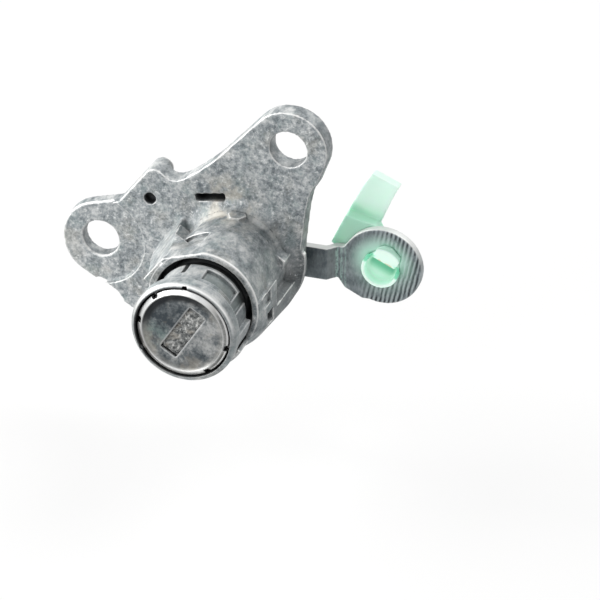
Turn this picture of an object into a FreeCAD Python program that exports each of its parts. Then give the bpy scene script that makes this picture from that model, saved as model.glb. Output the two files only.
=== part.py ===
import FreeCAD, Part
import math
import os

# Door lock cylinder of a car, in millimetres.
# The key axis is Y, the lock face looks toward -Y, and +Z is up.
# The origin is the centre of the lock face.

V = FreeCAD.Vector
AXIS = V(0, 1, 0)
ORIGIN = V(0, 0, 0)

# Fits
RUNNING_GAP = 0.05
SLOT_GAP = 0.06
FREE_GAP = 0.3

# Key and plug
KEY_ANGLE = 57.0
KEYWAY_LENGTH = 10.0
KEYWAY_WIDTH = 3.3
PLUG_WALL = 1.2
PLUG_RADIUS = KEYWAY_LENGTH / 2 + PLUG_WALL
PLUG_HEAD_STEP = 1.5
PLUG_HEAD_RADIUS = PLUG_RADIUS + PLUG_HEAD_STEP
PLUG_HEAD_BACK = 2.3
TAIL_RADIUS = 4.4
TAIL_FLAT = 3.2

# Face cap
CAP_SKIRT = 0.6
CAP_RADIUS = PLUG_HEAD_RADIUS + CAP_SKIRT
CAP_SHEET = 0.5
CAP_BEVEL = 0.8
CAP_DISH = 0.35
CAP_NOTCH_TURNS = (72.0, 114.0, -70.0, -114.0)
CAP_NOTCH_WIDTH = 1.1

# Sleeve
CAP_SEAT_GAP = 0.3
CAP_SEAT_DEPTH = 2.4
CAP_SEAT_RADIUS = CAP_RADIUS + CAP_SEAT_GAP
FLANGE_WALL = 0.9
FLANGE_RADIUS = CAP_SEAT_RADIUS + FLANGE_WALL
FLANGE_BACK = 2.9
FLANGE_EDGE = 0.7
SLEEVE_WALL = 1.4
SLEEVE_RADIUS = PLUG_RADIUS + SLEEVE_WALL
CROWN_STEP = 0.5
CROWN_RADIUS = SLEEVE_RADIUS + CROWN_STEP
CROWN_BACK = 10.3
GROOVE_DEPTH = 0.78
GROOVE_RADIUS = PLUG_RADIUS + GROOVE_DEPTH
STOP_LUG_HEIGHT = 1.5
STOP_LUG_RADIUS = SLEEVE_RADIUS + STOP_LUG_HEIGHT
FLANGE_NICKS = (87.0, 209.0)
FLANGE_NICK_WIDTH = 0.9

# Wafers
WAFER_COUNT = 8
WAFER_FIRST = 8.0
WAFER_END = 2.9
WAFER_THICKNESS = 1.0
WAFER_WIDTH = 5.4
WAFER_TRAVEL = 0.6
WAFER_NOSE = 1.4
WAFER_SHOULDER = 1.4
WAFER_SHOULDER_SINK = 2.5
WAFER_SHOULDER_Z = PLUG_RADIUS - WAFER_SHOULDER_SINK
SPRING_WIRE_RADIUS = 0.45

# Shutter
SHUTTER_SHEET = 0.5
SHUTTER_PIN_RADIUS = 0.4
SHUTTER_EYE_RADIUS = 0.95
SHUTTER_DEPTH = 2.3
SHUTTER_SPRING_RADIUS = 0.7
SHUTTER_SPRING_LENGTH = 1.9
SHUTTER_PIN_END = 0.7
CHAMBER_BACK = 6.2

# Housing
MOUTH_Y = 10.7
MOUTH_CLEARANCE = 0.87
MOUTH_BORE = CROWN_RADIUS + MOUTH_CLEARANCE
MOUTH_WALL = 1.13
MOUTH_RADIUS = MOUTH_BORE + MOUTH_WALL
MOUTH_DEPTH = 4.2
MOUTH_FLAT_WALL = 0.65
MOUTH_FLAT = MOUTH_BORE + MOUTH_FLAT_WALL
MOUTH_FLAT_ANGLE = 107.0
ROOT_FLARE = 2.5
RIGHT_FLANK_STEP = 0.05
RIGHT_FLANK = MOUTH_RADIUS + RIGHT_FLANK_STEP
FLANK_ANGLE = 142.0
FLANK_STEPS = (-0.1, 1.2, 1.35)
FLANK_OUT = tuple(MOUTH_RADIUS + step for step in FLANK_STEPS)
FLANK_Y = (MOUTH_Y + 0.3, 21.4, 24.5)
FLANK_TOP = (-4.1, -0.3, -0.3)
FLANK_LOW = (4.0, 7.2, 8.4)
BARREL_WALL = 1.1
BARREL_RADIUS = SLEEVE_RADIUS + BARREL_WALL
HUB_WALL = 3.6
HUB_RADIUS = BARREL_RADIUS + HUB_WALL
PLATE_Y = 30.2
PLATE_THICKNESS = 3.6
BACK_WALL = 2.9
BACK_GAP = 0.1
BOSS_WALL = 1.4
BOSS_RADIUS = TAIL_RADIUS + BOSS_WALL
BOSS_LENGTH = 1.8
EAR_RADIUS = 7.1
HOLE_RADIUS = 3.4
HOLE_TOP = (9.1, 22.0)
HOLE_SIDE = (-26.4, -1.8)
SHOULDER = ((-5.0, 8.5), 5.8)
VALLEY = ((-10.0, 6.0), 3.4)
VALLEY_FILL = ((-13.6, 12.95), (-12.6, 12.5), (-11.5, 12.55), (-10.3, 13.05), (-9.3, 13.8), (-7.5, 15.1),
               (-4.5, 17.7), (-3.0, 14.0), (-8.0, 8.0), (-12.0, 9.0))
CORNER = ((-15.7, 12.2), 1.9)
NECK = ((-21.2, 4.5), 2.3)
SIDE_HEEL = ((-26.5, -2.6), 7.0)
FOOT = ((-16.3, -11.6), 4.5)
FOOT_WAIST = ((-27.2, -9.75), (-24.9, -10.4), (-23.35, -11.35), (-22.0, -12.95), (-22.6, -15.0), (-28.5, -12.0))
WAIST = ((7.4, 14.5), 6.0)
RIGHT_EDGE = ((13.7, 15.4), (12.85, 13.0), (12.3, 10.4), (11.7, 5.3), (11.35, 1.4), (11.15, -2.4),
              (10.95, -5.0), (10.1, -7.4), (14.0, -7.4), (18.0, 15.4))
SPOT_FACE_RADIUS = 8.5
SPOT_FACE_DEPTH = 0.9

# Lever
LEVER_SHEET = 1.6
LEVER_HUB_RADIUS = 7.0
LEVER_EYE = (24.0, -2.5)
LEVER_EYE_RADIUS = 7.32
LEVER_HOLE_RADIUS = 3.2
LEVER_STRIP_WIDTH = 6.2
LEVER_STRIP_Z = -2.9
LEVER_JOGGLE = 1.7
LEVER_BEND = 14.2
LEVER_BEND_RUN = 1.6
WASHER_SHEET = 0.5
ECLIP_SHEET = 0.7
TAIL_END = 1.6

# Rod clip
CLIP_NECK_GAP = 0.05
CLIP_ANGLE = 65.0
CLIP_ROD_RADIUS = 1.5
CLIP_CUP_RADIUS = 3.45
CLIP_CUP_WALL = 0.6
CLIP_CUP = 1.5
CLIP_CUP_DEPTH = 1.8
CLIP_FLOOR = 0.5
CLIP_SPLIT = 1.15
CLIP_LUG = 0.6
CLIP_LUG_OUTLINE = ((1.0, 2.4), (3.3, 2.3), (4.3, 1.4), (4.7, 0.0), (3.8, -2.1), (2.6, -2.4), (1.0, -2.1))
CLIP_BASE_RADIUS = 4.0
CLIP_BASE = 1.6
CLIP_BLOCK = 2.6
CLIP_BLOCK_OUTLINE = ((-4.3, 0.5), (-1.9, 10.1), (4.4, 10.1), (5.7, 4.5), (3.2, 1.0), (0, -3.2), (-3.2, -2.4))
CLIP_FLAP = 1.5
CLIP_FLAP_OUTLINE = ((0.8, 4.2), (0.8, 10.0), (3.9, 10.2), (9.6, 10.1), (13.3, 9.7), (13.5, 4.3), (10.1, 4.4),
                     (5.5, 4.2))

# Derived places along the key axis
PLATE_BACK = PLATE_Y + PLATE_THICKNESS
PLUG_LENGTH = PLATE_BACK - BACK_WALL - BACK_GAP
WAFER_PITCH = (PLUG_LENGTH - WAFER_END - WAFER_FIRST) / WAFER_COUNT
BOSS_BACK = PLATE_BACK + BOSS_LENGTH
LEVER_Y = BOSS_BACK + WASHER_SHEET
LEVER_BACK = LEVER_Y + LEVER_SHEET
EYE_Y = LEVER_Y + LEVER_JOGGLE
EYE_BACK = EYE_Y + LEVER_SHEET


def rod(radius, y0, y1, x=0.0, z=0.0):
    """Cylinder along the key axis between two depths."""
    return Part.makeCylinder(radius, y1 - y0, V(x, y0, z), AXIS)


def tube(outer, inner, y0, y1, x=0.0, z=0.0):
    """Ring along the key axis."""
    return rod(outer, y0, y1, x, z).cut(rod(inner, y0 - 1, y1 + 1, x, z))


def rounded(points, radii):
    """Closed wire through points, each corner rounded by its own radius (0 leaves it sharp)."""
    count = len(points)
    ends = []
    edges = []
    for i in range(count):
        corner = points[i]
        if radii[i] <= 0:
            ends.append((corner, corner))
            continue
        back = (points[i - 1] - corner).normalize()
        ahead = (points[(i + 1) % count] - corner).normalize()
        half = back.getAngle(ahead) / 2
        reach = radii[i] / math.tan(half)
        centre = corner + (back + ahead).normalize() * (radii[i] / math.sin(half))
        middle = centre + (corner - centre).normalize() * radii[i]
        ends.append((corner + back * reach, corner + ahead * reach))
        edges.append(Part.Arc(ends[-1][0], middle, ends[-1][1]).toShape())
    for i in range(count):
        start = ends[i][1]
        finish = ends[(i + 1) % count][0]
        if start.distanceToPoint(finish) > 1e-6:
            edges.append(Part.LineSegment(start, finish).toShape())
    return Part.Wire(Part.__sortEdges__(edges))


def profile_face(profile):
    """Face from (radius, y) or (radius, y, corner radius) points beside the key axis."""
    points = [V(item[0], item[1], 0) for item in profile]
    radii = [item[2] if len(item) > 2 else 0 for item in profile]
    return Part.Face(rounded(points, radii))


def turned(profile):
    """Solid of revolution about the key axis."""
    return profile_face(profile).revolve(ORIGIN, AXIS, 360)


def sector(profile, start, end):
    """Part of a revolution, from angle start to angle end about the key axis."""
    face = profile_face(profile)
    face.rotate(ORIGIN, AXIS, -end)
    return face.revolve(ORIGIN, AXIS, end - start)


def slab(outline, y0, y1):
    """Flat plate between two depths with an (x, z) or (x, z, corner radius) outline."""
    points = [V(item[0], y0, item[1]) for item in outline]
    radii = [item[2] if len(item) > 2 else 0 for item in outline]
    return Part.Face(rounded(points, radii)).extrude(V(0, y1 - y0, 0))


def prism(radius, sides, y0, y1):
    """Straight-sided rod round the key axis whose flats touch a radius."""
    corner = radius / math.cos(math.pi / sides)
    return slab([polar(corner, 360.0 / sides * i) for i in range(sides)], y0, y1)


def block(u0, u1, y0, y1, v0, v1):
    """Box between two corners, u along X and v along Z."""
    return Part.makeBox(u1 - u0, y1 - y0, v1 - v0, V(u0, y0, v0))


def keyed(shape, side=1):
    """Turn a shape from the key's own axes to the lock's rest angle."""
    return turned_copy(shape, KEY_ANGLE if side > 0 else KEY_ANGLE + 180)


def turned_copy(shape, angle):
    """Copy of a shape turned about the key axis."""
    result = shape.copy()
    result.rotate(ORIGIN, AXIS, -angle)
    return result


def polar(radius, angle):
    """(x, z) of a point at a radius and angle about the key axis."""
    return (radius * math.cos(math.radians(angle)), radius * math.sin(math.radians(angle)))


def joined(shapes):
    """One solid from several that touch."""
    result = shapes[0]
    for shape in shapes[1:]:
        result = result.fuse(shape)
    return result.removeSplitter()


def less(shape, cuts):
    """Shape with all the cuts taken out."""
    result = shape
    for cut in cuts:
        result = result.cut(cut)
    return result


def link(c0, r0, c1, r1, y0, y1):
    """Plate round two circles and the straight edges that touch both."""
    dx = c1[0] - c0[0]
    dz = c1[1] - c0[1]
    gap = math.hypot(dx, dz)
    heading = math.atan2(dz, dx)
    lean = math.acos(max(-1.0, min(1.0, (r0 - r1) / gap)))
    corners = []
    for centre, radius, sign in ((c0, r0, 1), (c1, r1, 1), (c1, r1, -1), (c0, r0, -1)):
        angle = heading + sign * lean
        corners.append((centre[0] + radius * math.cos(angle), centre[1] + radius * math.sin(angle)))
    parts = [rod(r0, y0, y1, c0[0], c0[1]), rod(r1, y0, y1, c1[0], c1[1])]
    return joined(parts + [slab(corners, y0, y1)])


def export(name, shape):
    """Write one named piece."""
    solids = shape.Solids
    result = solids[0] if len(solids) == 1 else Part.makeCompound(solids)
    print(name, len(solids), "solid", round(result.Volume, 2), "mm3", result.isValid())
    result.exportStep("parts/" + name + ".step")


# Housing

def barrel():
    """Tapered barrel from the mouth to the rear boss."""
    lip = 0.3
    run = PLATE_Y - MOUTH_Y
    body = turned([(0, MOUTH_Y), (MOUTH_RADIUS - lip, MOUTH_Y), (MOUTH_RADIUS, MOUTH_Y + lip),
                   (0.62 * MOUTH_RADIUS + 0.38 * BARREL_RADIUS, MOUTH_Y + 0.45 * run),
                   (BARREL_RADIUS, PLATE_Y - ROOT_FLARE),
                   (BARREL_RADIUS + 0.35 * ROOT_FLARE, PLATE_Y - 0.4 * ROOT_FLARE),
                   (BARREL_RADIUS + ROOT_FLARE, PLATE_Y + 0.2), (BARREL_RADIUS, PLATE_BACK), (0, PLATE_BACK)])
    return body.fuse(rod(BOSS_RADIUS, PLATE_BACK - 1, BOSS_BACK))


def plate():
    """Cast mounting plate: hub, two ears and the webs between them."""
    hub = ((0.0, 0.0), HUB_RADIUS)
    top = (HOLE_TOP, EAR_RADIUS)
    side = (HOLE_SIDE, EAR_RADIUS)
    pairs = ((hub, WAIST), (WAIST, top), (top, SHOULDER), (hub, SHOULDER), (VALLEY, CORNER),
             (CORNER, NECK), (VALLEY, NECK), (hub, NECK), (NECK, side), (hub, side), (side, FOOT),
             (hub, FOOT), (side, SIDE_HEEL), (SIDE_HEEL, FOOT))
    webs = [link(a[0], a[1], b[0], b[1], PLATE_Y, PLATE_BACK) for a, b in pairs]
    pad = link(CORNER[0], CORNER[1], NECK[0], NECK[1], PLATE_BACK - 1, BOSS_BACK)
    fill = slab(VALLEY_FILL, PLATE_Y, PLATE_BACK)
    trims = [slab(outline, PLATE_Y - 1, BOSS_BACK + 1) for outline in (FOOT_WAIST, RIGHT_EDGE)]
    return less(joined(webs + [pad, fill]), trims)


def right_shroud():
    """Flat-sided wall below the barrel's right, from the mouth to the plate, with its cast pockets."""
    core = BARREL_RADIUS - 0.6
    wall = sector([(core, MOUTH_Y), (MOUTH_RADIUS, MOUTH_Y), (MOUTH_RADIUS + 1.2, MOUTH_Y + 4.5),
                   (MOUTH_RADIUS + 1.9, PLATE_Y - 6.7), (HUB_RADIUS, PLATE_Y - 3.2), (HUB_RADIUS, PLATE_Y + 1),
                   (core, PLATE_Y + 1)], -95, 10)
    side = [V(RIGHT_FLANK, MOUTH_Y, 0), V(RIGHT_FLANK + 0.5, PLATE_Y, 0), V(RIGHT_FLANK + 6, PLATE_Y, 0),
            V(RIGHT_FLANK + 6, MOUTH_Y, 0)]
    flat = Part.Face(Part.makePolygon(side + [side[0]])).extrude(V(0, 0, 16))
    flat.translate(V(0, 0, -12))
    far = MOUTH_RADIUS + 4
    pockets = []
    for floor, y0, y1, start, end in ((MOUTH_RADIUS - 0.7, MOUTH_Y + 2.7, MOUTH_Y + 6.5, -5, 8.5),
                                      (MOUTH_RADIUS - 0.1, MOUTH_Y + 4.7, MOUTH_Y + 7.7, -27, -14),
                                      (BARREL_RADIUS + 0.5, PLATE_Y - 10.0, PLATE_Y, -18, 21)):
        pockets.append(sector([(floor, y0), (far, y0), (far, y1), (floor, y1)], start, end))
    return less(wall, [flat] + pockets)


def flank_point(out, along, y):
    """Point on the left flank: distance out, distance along its flat, and depth."""
    nx, nz = polar(1, FLANK_ANGLE)
    return V(out * nx - along * nz, y, out * nz + along * nx)


def solid_of(corners, sides):
    """Solid with flat sides, each given by the numbers of its corners."""
    faces = [Part.Face(Part.makePolygon([corners[i] for i in side] + [corners[side[0]]])) for side in sides]
    solid = Part.Solid(Part.Shell(faces))
    if solid.Volume < 0:
        solid.reverse()
    return solid


def flank_step(i):
    """One length of the flank's wall, between two depths."""
    inner = BARREL_RADIUS - 1.9
    corners = []
    for k in (i, i + 1):
        for out, along in ((inner, FLANK_TOP[k]), (FLANK_OUT[k], FLANK_TOP[k]), (FLANK_OUT[k], FLANK_LOW[k]),
                           (inner, FLANK_LOW[k])):
            corners.append(flank_point(out, along, FLANK_Y[k]))
    sides = [(0, 1, 2), (0, 2, 3), (4, 5, 6), (4, 6, 7)]
    for j in range(4):
        n = (j + 1) % 4
        sides += [(j, n, n + 4), (j, n + 4, j + 4)]
    return solid_of(corners, sides)


def gusset():
    """Three-sided web from the flank's top edge down to the barrel."""
    corners = [flank_point(FLANK_OUT[1], FLANK_TOP[1], FLANK_Y[1]),
               flank_point(MOUTH_RADIUS - 2, -5.7, 13.8),
               flank_point(FLANK_OUT[0] - 0.1, FLANK_TOP[0] - 0.1, FLANK_Y[0] + 1.0),
               flank_point(BARREL_RADIUS - 1.8, FLANK_TOP[1], FLANK_Y[1]),
               flank_point(BARREL_RADIUS - 1.8, -3.0, FLANK_Y[0] + 1.0)]
    return solid_of(corners, ((0, 1, 2), (0, 3, 1), (0, 2, 4), (0, 4, 3), (1, 4, 2), (1, 3, 4)))


def left_flank():
    """Flat-sided wall on the upper left of the barrel, its web, its foot and two cast bars on its front."""
    core = BARREL_RADIUS - 1.8
    ends = ((FLANK_Y[2] - 0.1, FLANK_OUT[2] - 0.05, 8.4), (PLATE_Y + 1, FLANK_OUT[2] + 0.15, 11.5))
    foot = [flank_point(out, along, y) for y, out, low in ends
            for out, along in ((core, 2.2), (out, 2.2), (out, low), (core, low))]
    sides = [(0, 1, 2), (0, 2, 3), (4, 5, 6), (4, 6, 7)]
    for j in range(4):
        n = (j + 1) % 4
        sides += [(j, n, n + 4), (j, n + 4, j + 4)]
    bars = []
    for start, length in ((FLANK_TOP[0] + 0.1, 3.0), (FLANK_LOW[0] - 4.0, 4.1)):
        bar = block(FLANK_OUT[0] - 0.6, FLANK_OUT[0] + 0.55, MOUTH_Y - 0.1, MOUTH_Y + 1.1, start, start + length)
        bars.append(turned_copy(bar, FLANK_ANGLE))
    return [flank_step(0), flank_step(1), gusset(), solid_of(foot, sides)] + bars


def flank_pocket():
    """Sloping pocket in the barrel between its crest and the flank's web."""
    near = MOUTH_RADIUS - 0.2
    far = BARREL_RADIUS + 0.1
    return sector([(near, 13.8), (far, 19.6), (far + 4, 19.6), (far + 4, 13.8)], 100, 136)


def root_ribs():
    """Small rib at the barrel's right root and a low ridge on its top."""
    rib = slab([(7.3, 4.2), (8.2, 3.5), (10.0, 2.24), (9.5, 0.57), (7.6, 0.3)], PLATE_Y - 4.4, PLATE_Y + 1)
    ridge = sector([(BARREL_RADIUS - 1, PLATE_Y - 5.4), (BARREL_RADIUS + 0.4, PLATE_Y - 5.2),
                    (BARREL_RADIUS + 0.4, PLATE_Y - 4.6), (BARREL_RADIUS - 1, PLATE_Y - 4.4)], 39, 57)
    return [rib, ridge]


def cast_pip():
    """Six-sided pip on the barrel in front of the plate."""
    x, z = polar(1, 86)
    pip = prism(1.5, 6, 0, 1.0)
    pip.rotate(ORIGIN, V(1, 0, 0), 90)
    pip.translate(V(x * (BARREL_RADIUS - 0.45), PLATE_Y - 2.6, z * (BARREL_RADIUS - 0.45)))
    return pip


def tongue():
    """Guard tongue that runs forward from the mouth beside the sleeve's lug."""
    inner = STOP_LUG_RADIUS + 0.25
    wall = sector([(inner, 5.8), (MOUTH_RADIUS, 5.8), (MOUTH_RADIUS, MOUTH_Y + 2),
                   (inner, MOUTH_Y + 2)], -72, -32)
    return wall


def mouth_flat():
    """Chord cut on the upper left of the mouth."""
    cut = block(MOUTH_FLAT, MOUTH_FLAT + 4, MOUTH_Y - 1, MOUTH_Y + 7, -9, 9)
    return turned_copy(cut, MOUTH_FLAT_ANGLE)


def plate_slot():
    """Deep blind slot in the plate beside the barrel."""
    cut = block(-2.8, 2.8, PLATE_Y - 1, PLATE_BACK - 0.6, -0.7, 0.7)
    cut.rotate(ORIGIN, AXIS, -9.5)
    cut.translate(V(-5.3, 0, 10.3))
    return cut


def housing():
    """Die-cast housing in one piece."""
    bore = SLEEVE_RADIUS + RUNNING_GAP
    shell = joined([barrel().cut(flank_pocket()), plate(), right_shroud(), tongue(), cast_pip()])
    body = joined([shell] + left_flank() + root_ribs())
    cuts = [rod(MOUTH_BORE, MOUTH_Y - 1, MOUTH_Y + MOUTH_DEPTH),
            rod(bore, MOUTH_Y, PLUG_LENGTH + BACK_GAP),
            rod(TAIL_RADIUS + RUNNING_GAP, PLUG_LENGTH - 1, BOSS_BACK + 1),
            mouth_flat(), plate_slot(),
            rod(1.1, PLATE_Y - 1, PLATE_Y + 2, -16.6, 8.2),
            rod(SPOT_FACE_RADIUS, PLATE_Y - 1, PLATE_Y + SPOT_FACE_DEPTH, HOLE_SIDE[0], HOLE_SIDE[1])]
    cuts += [rod(HOLE_RADIUS, PLATE_Y - 1, PLATE_BACK + 1, x, z) for x, z in (HOLE_TOP, HOLE_SIDE)]
    return less(body, cuts).removeSplitter()


# Sleeve

def crown_cuts():
    """Notches and windows round the sleeve's crown."""
    deep = SLEEVE_RADIUS - 0.2
    far = CROWN_RADIUS + 3
    cuts = []
    for start, end, y0 in ((104, 110, 7.4), (146, 196, 3.6), (232, 250, 6.4), (15, 30, 5.4)):
        cuts.append(sector([(deep, y0), (far, y0), (far, CROWN_BACK + 1), (deep, CROWN_BACK + 1)],
                           start, end))
    for start, end in ((32, 79), (262, 300)):
        cuts.append(sector([(deep, 6.0), (far, 6.0), (far, 9.4), (deep, 9.4)], start, end))
    return cuts


def grooves():
    """Two grooves inside the sleeve that take the wafer tips while locked."""
    back = WAFER_FIRST + WAFER_PITCH * WAFER_COUNT
    half = WAFER_WIDTH / 2 + FREE_GAP
    result = []
    for side in (1, -1):
        strip = rod(GROOVE_RADIUS, WAFER_FIRST - 1.2, back)
        strip = strip.common(block(-half, half, 0, back + 1, 0, GROOVE_RADIUS + 1))
        result.append(keyed(strip, side))
    return result


def sleeve():
    """Free-turning sleeve with its face flange, crown and stop lug."""
    edge = FLANGE_EDGE
    body = turned([(0, 0.1), (FLANGE_RADIUS - edge, 0.1), (FLANGE_RADIUS, 0.1 + edge),
                   (FLANGE_RADIUS, FLANGE_BACK),
                   (CROWN_RADIUS, FLANGE_BACK), (CROWN_RADIUS, CROWN_BACK),
                   (SLEEVE_RADIUS, CROWN_BACK), (SLEEVE_RADIUS, PLUG_LENGTH), (0, PLUG_LENGTH)])
    lug = sector([(SLEEVE_RADIUS - 1, FLANGE_BACK - 0.5), (STOP_LUG_RADIUS, FLANGE_BACK - 0.5),
                  (STOP_LUG_RADIUS, CROWN_BACK - 0.3), (SLEEVE_RADIUS - 1, CROWN_BACK - 0.3)], -30, -6)
    body = less(body, crown_cuts()).fuse(lug)
    cuts = [rod(CAP_SEAT_RADIUS, -1, CAP_SEAT_DEPTH), rod(PLUG_RADIUS + RUNNING_GAP, -1, PLUG_LENGTH + 1)]
    half = FLANGE_NICK_WIDTH / 2
    for angle in FLANGE_NICKS:
        nick = block(CAP_SEAT_RADIUS - 0.5, CAP_SEAT_RADIUS + 0.45, -1, 0.9, -half, half)
        cuts.append(turned_copy(nick, angle))
    return less(body, cuts + grooves()).removeSplitter()


# Plug

def wafer_y(index):
    """Depth of the front of one wafer."""
    return WAFER_FIRST + WAFER_PITCH * index


def wafer_slot(index):
    """Slot that one wafer slides in, with the pocket for its spring."""
    half = WAFER_WIDTH / 2
    y0 = wafer_y(index) - SLOT_GAP
    y1 = wafer_y(index) + WAFER_THICKNESS + SLOT_GAP
    floor = KEYWAY_WIDTH / 2 - 0.3
    main = block(-half - SLOT_GAP, half + SLOT_GAP, y0, y1, floor, PLUG_RADIUS + 1)
    side = block(half - 0.1, half + WAFER_SHOULDER + SLOT_GAP, y0, y1, floor + 0.9, PLUG_RADIUS + 1)
    return keyed(main.fuse(side), 1 if index % 2 == 0 else -1)


def wafer(index):
    """Half wafer: rounded tip, shoulder over its spring and a nose in the key's track."""
    half = WAFER_WIDTH / 2
    y0 = wafer_y(index)
    y1 = y0 + WAFER_THICKNESS
    body = block(-half, half, y0, y1, KEYWAY_WIDTH / 2 + WAFER_TRAVEL, PLUG_RADIUS + 1)
    shoulder = block(half - 0.5, half + WAFER_SHOULDER, y0, y1, WAFER_SHOULDER_Z, PLUG_RADIUS + 1)
    nose = block(-WAFER_NOSE / 2, WAFER_NOSE / 2, y0, y1, KEYWAY_WIDTH / 2 - 0.4,
                 KEYWAY_WIDTH / 2 + WAFER_TRAVEL + 0.5)
    tip = rod(PLUG_RADIUS - 0.02, y0 - 1, y1 + 1)
    shape = body.fuse(shoulder).common(tip).fuse(nose.common(tip)).removeSplitter()
    shape.translate(V(0, 0, WAFER_TRAVEL))
    limit = rod(GROOVE_RADIUS - 0.05, y0 - 1, y1 + 1)
    limit = limit.common(block(-half, half, y0 - 1, y1 + 1, 0, 9)).fuse(rod(PLUG_RADIUS, y0 - 1, y1 + 1))
    return keyed(shape.common(limit), 1 if index % 2 == 0 else -1)


def wafer_spring(index):
    """Envelope of the small coil spring under a wafer's shoulder."""
    radius = SPRING_WIRE_RADIUS
    x = WAFER_WIDTH / 2 + WAFER_SHOULDER / 2 + 0.1
    floor = KEYWAY_WIDTH / 2 + 0.6
    y = wafer_y(index) + WAFER_THICKNESS / 2
    corners = []
    for i in range(8):
        angle = math.pi / 4 * i
        corners.append(V(x + radius * math.cos(angle), y + radius * math.sin(angle), floor))
    coil = Part.Face(Part.makePolygon(corners + [corners[0]])).extrude(V(0, 0, WAFER_SHOULDER_Z + WAFER_TRAVEL - floor))
    return keyed(coil, 1 if index % 2 == 0 else -1)


def plug():
    """Plug with head, keyway, wafer slots and the flatted tail for the lever."""
    head = rod(PLUG_HEAD_RADIUS, CAP_DISH + CAP_SHEET, PLUG_HEAD_BACK)
    body = rod(PLUG_RADIUS, PLUG_HEAD_BACK - 0.5, PLUG_LENGTH)
    tail = rod(TAIL_RADIUS, PLUG_LENGTH - 0.5, LEVER_Y)
    flat = rod(TAIL_RADIUS, LEVER_Y - 0.5, LEVER_BACK + ECLIP_SHEET + TAIL_END)
    flat = flat.common(keyed(block(-9, 9, LEVER_Y - 0.5, LEVER_BACK + 9, -TAIL_FLAT, TAIL_FLAT)))
    groove = tube(TAIL_RADIUS + 2, TAIL_RADIUS - 1.4, LEVER_BACK + 0.02, LEVER_BACK + ECLIP_SHEET + 0.1)
    body = joined([head, body, tail, flat]).cut(groove)
    half_l = KEYWAY_LENGTH / 2
    half_w = KEYWAY_WIDTH / 2
    keyway = block(-half_l, half_l, 0, PLUG_LENGTH - 3, -half_w, half_w)
    swing = SHUTTER_DEPTH - CAP_DISH - CAP_SHEET
    chamber = block(-half_l - SLOT_GAP, half_l + SLOT_GAP, 0, CHAMBER_BACK, -half_w - 0.55, half_w + swing - 0.1)
    pin = shutter_rod(SHUTTER_PIN_RADIUS, -half_l - SHUTTER_PIN_END, half_l + SHUTTER_PIN_END)
    cuts = [keyed(keyway), keyed(chamber), keyed(pin)]
    cuts += [wafer_slot(i) for i in range(WAFER_COUNT)]
    return less(body, cuts).removeSplitter()


# Face cap and shutter

def face_cap():
    """Pressed stainless cap: dished disc, bright bevelled rim and folded skirt."""
    r = CAP_RADIUS
    b = CAP_BEVEL
    body = turned([(0, CAP_DISH), (r - b - 0.5, CAP_DISH), (r - b - 0.1, 0.0), (r, 0.55),
                   (r, PLUG_HEAD_BACK), (PLUG_HEAD_RADIUS, PLUG_HEAD_BACK),
                   (PLUG_HEAD_RADIUS, CAP_DISH + CAP_SHEET), (0, CAP_DISH + CAP_SHEET)])
    slot = block(-KEYWAY_LENGTH / 2, KEYWAY_LENGTH / 2, -1, 2, -KEYWAY_WIDTH / 2, KEYWAY_WIDTH / 2)
    notches = []
    half = CAP_NOTCH_WIDTH / 2
    for turn in CAP_NOTCH_TURNS:
        notch = block(PLUG_HEAD_RADIUS - 0.05, r + 1, -1, PLUG_HEAD_BACK - 0.5, -half, half)
        notches.append(turned_copy(notch, KEY_ANGLE + turn))
    return less(body, [keyed(slot)] + notches)


def shutter_rod(radius, start, end):
    """Cylinder along the shutter's hinge line, in the key's own axes."""
    return Part.makeCylinder(radius, end - start, V(start, SHUTTER_DEPTH, KEYWAY_WIDTH / 2 - 0.1), V(1, 0, 0))


def shutter():
    """Spring flap behind the keyhole, with the eye for its pin."""
    half_l = KEYWAY_LENGTH / 2 - 0.1
    half_w = KEYWAY_WIDTH / 2
    y0 = CAP_DISH + CAP_SHEET + 0.12
    flap = block(-half_l, half_l, y0, y0 + SHUTTER_SHEET, -half_w - 0.05, half_w)
    eye = shutter_rod(SHUTTER_EYE_RADIUS, -half_l, half_l - SHUTTER_SPRING_LENGTH - FREE_GAP)
    hole = shutter_rod(SHUTTER_PIN_RADIUS + 0.03, -half_l - 2, half_l + 2)
    return keyed(flap.fuse(eye).cut(hole).removeSplitter())


def shutter_pin():
    """Pin across the plug's head that the shutter turns on."""
    half = KEYWAY_LENGTH / 2 + SHUTTER_PIN_END
    return keyed(shutter_rod(SHUTTER_PIN_RADIUS, -half, half))


def shutter_spring():
    """Envelope of the small torsion spring beside the shutter's eye."""
    end = KEYWAY_LENGTH / 2 - 0.1
    start = end - SHUTTER_SPRING_LENGTH
    sides = []
    for i in range(8):
        angle = math.pi / 4 * (i + 0.5)
        corner = SHUTTER_SPRING_RADIUS / math.cos(math.pi / 8)
        sides.append(V(start, SHUTTER_DEPTH + corner * math.cos(angle),
                       KEYWAY_WIDTH / 2 - 0.1 + corner * math.sin(angle)))
    outer = Part.Face(Part.makePolygon(sides + [sides[0]])).extrude(V(end - start, 0, 0))
    return keyed(outer.cut(shutter_rod(SHUTTER_PIN_RADIUS + 0.03, start - 1, end + 1)))


# Lever and rod clip

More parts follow.
